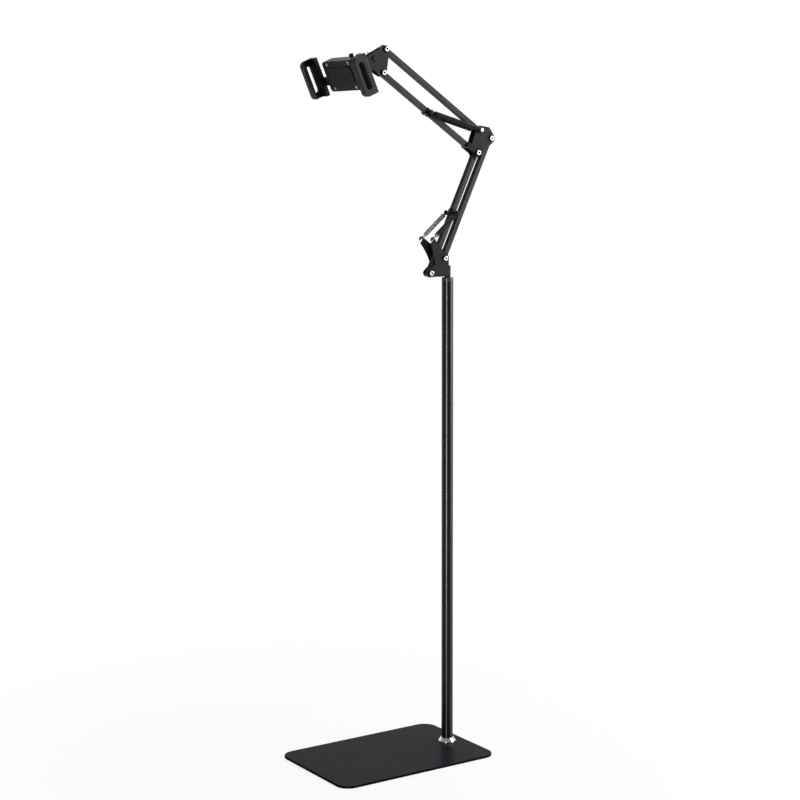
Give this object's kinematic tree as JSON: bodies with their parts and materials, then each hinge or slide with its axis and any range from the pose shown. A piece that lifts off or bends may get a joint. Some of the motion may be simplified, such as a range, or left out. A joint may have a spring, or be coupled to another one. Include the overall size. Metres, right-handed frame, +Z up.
{
  "type": "adjustable tablet floor stand",
  "caption": "Floor stand with a flat base, a slim pole and a sprung two-part arm that carries a clamp for a tablet.",
  "frame": {"origin": "centre of the base's underside, on the floor", "axes": "+X along the base's long side towards the pole, +Z up; the arm reaches towards -X"},
  "size_m": [0.4084, 0.23, 1.3192],
  "materials": {
    "base_enamel": "satin",
    "floor_rubber": "matte",
    "pole_enamel": "gloss",
    "chrome": "polished",
    "bracket_enamel": "matte",
    "bar_enamel": "satin",
    "screw_steel": "polished",
    "dark_steel": "satin",
    "spring_steel": "drawn wire",
    "black_plastic": "matte",
    "grip_rubber": "matte"
  },
  "bodies": {
    "root": {"base_mat": "floor_rubber", "base_plate": "base_enamel", "base_screw": "dark_steel", "base_collar": "chrome", "pole_lower_tube": "pole_enamel", "pole_middle_tube": "pole_enamel", "pole_upper_tube": "pole_enamel", "pole_joiners": "screw_steel", "pole_insert": "screw_steel", "pole_cap": "black_plastic"},
    "bracket": {"base_bracket": "bracket_enamel", "swivel_pin": "screw_steel", "bracket_screws": "screw_steel", "bracket_nuts": "screw_steel", "bracket_washers": "dark_steel"},
    "lower_rear_arm": {"lower_rear_bar": "bar_enamel", "lower_rear_bar_plugs": "black_plastic"},
    "lower_front_arm": {"lower_front_bar": "bar_enamel", "lower_front_bar_plug": "black_plastic", "lower_front_bar_tongue": "black_plastic", "lower_spring_post": "chrome", "lower_spring_band": "dark_steel"},
    "lower_spring_coils": {"lower_springs": "spring_steel", "lower_spring_hook_eyes": "spring_steel"},
    "lower_spring_ends": {"lower_spring_bar_eyes": "spring_steel"},
    "elbow": {"elbow_plate_near": "bracket_enamel", "elbow_plate_far": "bracket_enamel", "elbow_screws": "screw_steel", "elbow_nuts": "screw_steel", "elbow_washers": "dark_steel", "elbow_spring_post": "chrome"},
    "upper_bottom_arm": {"upper_bottom_bar": "bar_enamel", "upper_bottom_bar_plug": "black_plastic", "upper_bottom_bar_fork": "black_plastic", "upper_spring_post": "chrome", "upper_spring_band": "dark_steel"},
    "upper_top_arm": {"upper_top_bar": "bar_enamel", "upper_top_bar_plugs": "black_plastic"},
    "upper_spring_coils": {"upper_springs": "spring_steel", "upper_spring_elbow_eyes": "spring_steel"},
    "upper_spring_ends": {"upper_spring_bar_eyes": "spring_steel"},
    "head": {"head_plate_near": "bracket_enamel", "head_plate_far": "bracket_enamel", "head_screws": "screw_steel", "head_nuts": "screw_steel", "head_washers": "dark_steel", "tilt_bolt": "dark_steel"},
    "wing_nut_body": {"wing_nut": "chrome"},
    "neck": {"holder_neck": "black_plastic", "swivel_washer": "grip_rubber", "swivel_stud": "screw_steel"},
    "holder": {"holder_case": "black_plastic", "holder_cover": "black_plastic", "cover_screws": "screw_steel", "holder_pad": "grip_rubber"},
    "near_jaw_body": {"near_jaw": "black_plastic", "near_jaw_liner": "grip_rubber"},
    "far_jaw_body": {"far_jaw": "black_plastic", "far_jaw_liner": "grip_rubber"},
    "lock_knob_body": {"lock_knob": "black_plastic"}
  },
  "joints": [
    {"name": "arm_swivel", "type": "hinge", "parent": "root", "child": "bracket", "pos_m": [0.136, 0, 0.8985], "axis": [0, 0, 1], "continuous": true},
    {"name": "lower_arm_swing", "type": "hinge", "parent": "bracket", "child": "lower_rear_arm", "pos_m": [0.1254, 0, 0.9343], "axis": [0, -1, 0], "range_deg": [-4, 50]},
    {"name": "lower_front_swing", "type": "hinge", "parent": "bracket", "child": "lower_front_arm", "pos_m": [0.0935, 0, 0.9077], "axis": [0, -1, 0], "range_deg": [-4.5, 50.5]},
    {"name": "elbow_level", "type": "hinge", "parent": "lower_rear_arm", "child": "elbow", "pos_m": [0.23006, 0, 1.15471], "axis": [0, -1, 0], "range_deg": [-50.5, 4.5]},
    {"name": "lower_spring_swing", "type": "hinge", "parent": "bracket", "child": "lower_spring_coils", "pos_m": [0.08936, 0, 0.97024], "axis": [0, -1, 0], "range_deg": [-8, 94.29]},
    {"name": "lower_spring_stretch", "type": "slide", "parent": "lower_spring_coils", "child": "lower_spring_ends", "axis": [0.7642, 0, 0.645], "range_m": [-0.00699, 0.00084], "deforming": ["lower_springs", "lower_spring_bar_eyes"]},
    {"name": "upper_arm_swing", "type": "hinge", "parent": "elbow", "child": "upper_bottom_arm", "pos_m": [0.19816, 0, 1.12811], "axis": [0, -1, 0], "range_deg": [-16, 45]},
    {"name": "upper_top_swing", "type": "hinge", "parent": "elbow", "child": "upper_top_arm", "pos_m": [0.20416, 0, 1.16991], "axis": [0, -1, 0], "range_deg": [-16.5, 45.5]},
    {"name": "upper_spring_swing", "type": "hinge", "parent": "elbow", "child": "upper_spring_coils", "pos_m": [0.20416, 0, 1.16991], "axis": [0, -1, 0], "range_deg": [-15.34, 42.25]},
    {"name": "upper_spring_stretch", "type": "slide", "parent": "upper_spring_coils", "child": "upper_spring_ends", "axis": [-0.9636, 0, 0.2673], "range_m": [-0.01148, 0.03173], "deforming": ["upper_springs", "upper_spring_bar_eyes"]},
    {"name": "head_level", "type": "hinge", "parent": "upper_bottom_arm", "child": "head", "pos_m": [-0.0096, 0, 1.26984], "axis": [0, -1, 0], "range_deg": [-45.5, 16.5]},
    {"name": "wing_nut_spin", "type": "hinge", "parent": "head", "child": "wing_nut_body", "pos_m": [-0.0285, 0, 1.29434], "axis": [0, -1, 0], "continuous": true},
    {"name": "head_tilt", "type": "hinge", "parent": "head", "child": "neck", "pos_m": [-0.0285, 0, 1.29434], "axis": [0, 1, 0], "range_deg": [-30, 80]},
    {"name": "holder_spin", "type": "hinge", "parent": "neck", "child": "holder", "pos_m": [-0.02712, 0, 1.29113], "axis": [-0.9184, 0, -0.3955], "continuous": true},
    {"name": "near_jaw_slide", "type": "slide", "parent": "holder", "child": "near_jaw_body", "axis": [0, -1, 0], "range_m": [-0.019, 0.02]},
    {"name": "far_jaw_slide", "type": "slide", "parent": "holder", "child": "far_jaw_body", "axis": [0, 1, 0], "range_m": [-0.019, 0.02]},
    {"name": "lock_knob_spin", "type": "hinge", "parent": "holder", "child": "lock_knob_body", "pos_m": [-0.08682, -0.043, 1.26542], "axis": [-0.3955, 0, 0.9184], "continuous": true}
  ],
  "couplings": [
    {"joint": "lower_front_swing", "follows": "lower_arm_swing", "ratio": 1},
    {"joint": "elbow_level", "follows": "lower_arm_swing", "ratio": -1},
    {"joint": "lower_spring_swing", "follows": "lower_arm_swing", "ratio": 1.8757},
    {"joint": "lower_spring_stretch", "follows": "lower_arm_swing", "m_per_rad": -0.007666},
    {"joint": "upper_top_swing", "follows": "upper_arm_swing", "ratio": 1},
    {"joint": "upper_spring_swing", "follows": "upper_arm_swing", "ratio": 0.92777},
    {"joint": "upper_spring_stretch", "follows": "upper_arm_swing", "m_per_rad": 0.040024},
    {"joint": "head_level", "follows": "upper_arm_swing", "ratio": -1}
  ]
}
